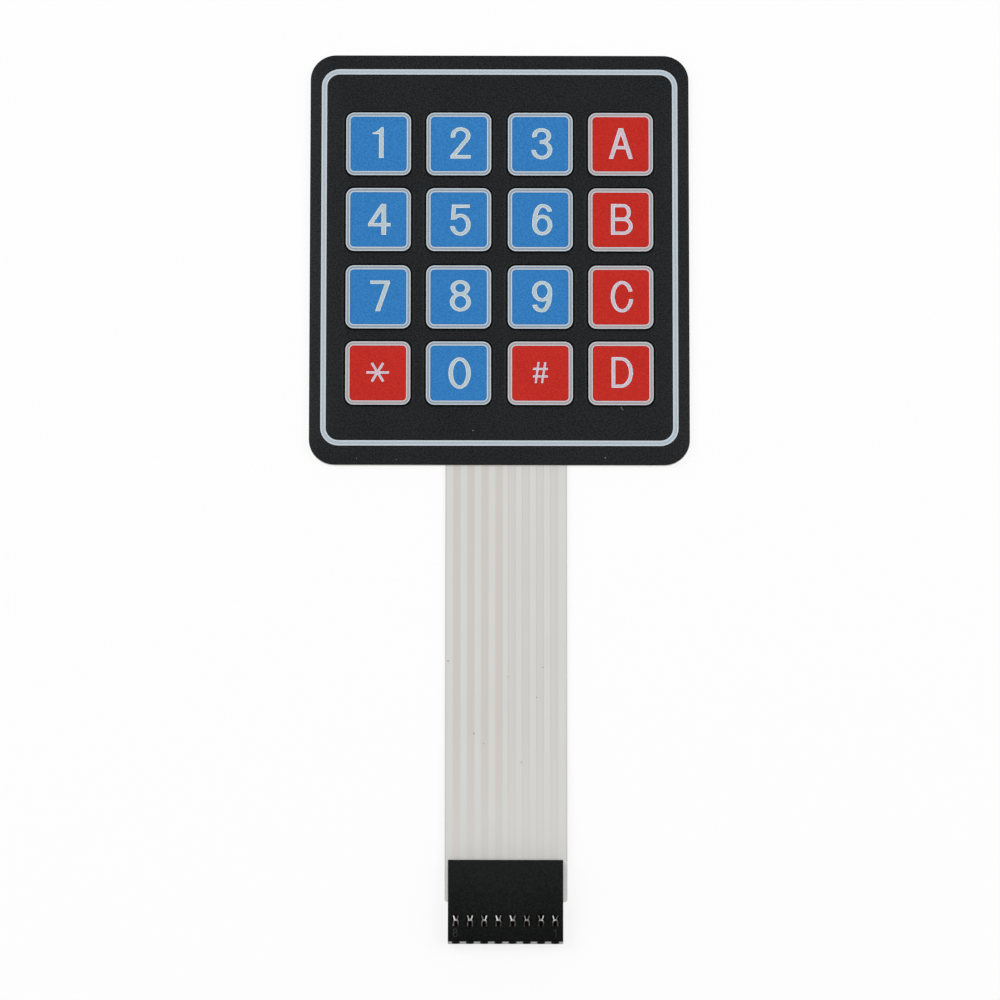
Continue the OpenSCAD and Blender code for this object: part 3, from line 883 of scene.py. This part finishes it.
def connector_housing():
    piece = node_copy("connector_housing", "housing")
    smooth(piece, 32)
    apply_modifier(piece, "WEIGHTED_NORMAL", keep_sharp=True)
    plastic = housing_finish("moulded_black_plastic", (0, 1, 2), (26, 27, 27))
    settle(piece, plastic, "housing_plastic", "connector_housing")
    piece.data.materials.append(mating_face_finish())
    for face in piece.data.polygons:
        if face.normal.y < -0.9 and face.center.y * METRE < MATING_Y + MATING_DEPTH:
            face.material_index = 1
    numbers = join([pin_number(*number) for number in PIN_NUMBERS], "pin_numbers")
    # painted highlight: the raised numbers take a lighter copy of the housing's plastic
    highlight_plastic = housing_finish("highlighted_black_plastic", (38, 39, 40), (60, 60, 60))
    settle(numbers, highlight_plastic, "housing_plastic")


def contacts():
    metal = contact_finish()
    for number in range(1, WAYS + 1):
        node = "contact_%d" % number
        piece = node_copy(node, "pin_socket_%d" % number)
        smooth(piece, 40)
        # how bright each way's painted glint is on its left and right ears
        left, right = EAR_PAINTED_GLINT[WAYS - number]
        mark(piece, "left_ear_glint", lambda vertex: left)
        mark(piece, "right_ear_glint", lambda vertex: right)
        settle(piece, metal, "contact_metal", node)


def dress_nodes():
    """Finishes for the CAD solids whose shape already serves."""
    circuit = circuit_finish()
    adhesive = sheet_finish("clear_adhesive", (196, 194, 186), (212, 210, 203), 120, 0.3)
    silver = silver_finish()
    spacer = sheet_finish("spacer_film", (204, 204, 202), (216, 216, 214), 90, 0.4)
    wanted = {"release_liner": liner_finish(), "rear_adhesive": adhesive, "overlay_adhesive": adhesive,
              "lower_circuit_film": circuit, "upper_circuit_film": circuit, "spacer": spacer,
              "row_tracks": silver, "column_tracks": silver}
    for node, finish in wanted.items():
        mesh = frame["nodes"][node].data
        mesh.materials.clear()
        mesh.materials.append(finish)


# Stage, light and camera

def floor():
    leave_all()
    bpy.ops.mesh.primitive_plane_add(size=FLOOR_SIZE, location=(0, 0, -FLOOR_DROP))
    ground = bpy.context.object
    ground.name = "floor"
    paper = Finish("white_floor")
    seen = paper.node("ShaderNodeLightPath", None, None, "Is Camera Ray")
    glossy = paper.node("ShaderNodeLightPath", None, None, "Is Glossy Ray")
    through = paper.node("ShaderNodeLightPath", None, None, "Is Transmission Ray")
    share = seen.most(glossy).most(through) * 0.8
    paint = paper.node("ShaderNodeBsdfDiffuse", None, {"Color": (0.93, 0.93, 0.93, 1.0)})
    glow = paper.node("ShaderNodeEmission", None, {"Color": (1, 1, 1, 1), "Strength": 1.0})
    both = paper.node("ShaderNodeMixShader", None, {0: share, 1: paint, 2: glow})
    paper.node("ShaderNodeOutputMaterial", None, {"Surface": both})
    ground.data.materials.append(paper.material)


def world_light():
    """A white room under a dim ceiling."""
    world = bpy.data.worlds.new("studio")
    bpy.context.scene.world = world
    room = Finish("studio", world)
    way = room.node("ShaderNodeTexCoord", output="Generated")
    rise = room.node("ShaderNodeSeparateXYZ", None, {0: way}, "Z")
    high = ((rise - 0.25) / 0.5).held()
    sky = room.node("ShaderNodeBackground", None, {"Color": (1, 1, 1, 1), "Strength": 1.0 - high * 0.86})
    room.node("ShaderNodeOutputWorld", None, {"Surface": sky})


def softbox(name, place, size, watts):
    leave_all()
    bpy.ops.object.light_add(type="AREA", location=place)
    lamp = bpy.context.object
    lamp.name = name
    lamp.data.shape = "SQUARE"
    lamp.data.size = size
    lamp.data.energy = watts
    aim = Vector(LIGHT_AIM) - Vector(place)
    lamp.rotation_mode = "QUATERNION"
    lamp.rotation_quaternion = aim.to_track_quat("-Z", "Y")


def lights():
    softbox("left_softbox", (-1.0, 0.35, 1.0), 0.9, 10.5)
    softbox("right_softbox", (1.0, 0.15, 1.0), 0.9, 8.5)
    softbox("front_glint", (0.0, -0.75, 1.55), 0.3, 2.2)


def camera():
    """The photograph's viewpoint: nearly overhead, a little toward the connector."""
    azimuth, elevation, roll = math.radians(-1.279), math.radians(77.221), math.radians(1.349)
    far = 1.6658
    aim = Vector((0.000124, -0.044711, 0.0))
    flat = math.cos(elevation)
    back = Vector((math.sin(azimuth) * flat, -math.cos(azimuth) * flat, math.sin(elevation)))
    level = Vector((math.cos(azimuth), math.sin(azimuth), 0.0))
    rise = back.cross(level)
    across = level * math.cos(roll) + rise * math.sin(roll)
    up = rise * math.cos(roll) - level * math.sin(roll)
    leave_all()
    bpy.ops.object.camera_add(location=aim + back * far)
    eye = bpy.context.object
    eye.rotation_mode = "QUATERNION"
    eye.rotation_quaternion = Matrix((across, up, back)).transposed().to_quaternion()
    eye.data.sensor_width = 36.0
    eye.data.lens = 331.6
    eye.data.clip_start = 0.05
    eye.data.clip_end = 30.0
    bpy.context.scene.camera = eye


bpy.context.scene.view_settings.view_transform = "Standard"
camera()
world_light()
lights()
floor()
dress_nodes()
graphic_overlay()
line_print()
key_fields()
key_signs()
connector_housing()
contacts()
leave_all()
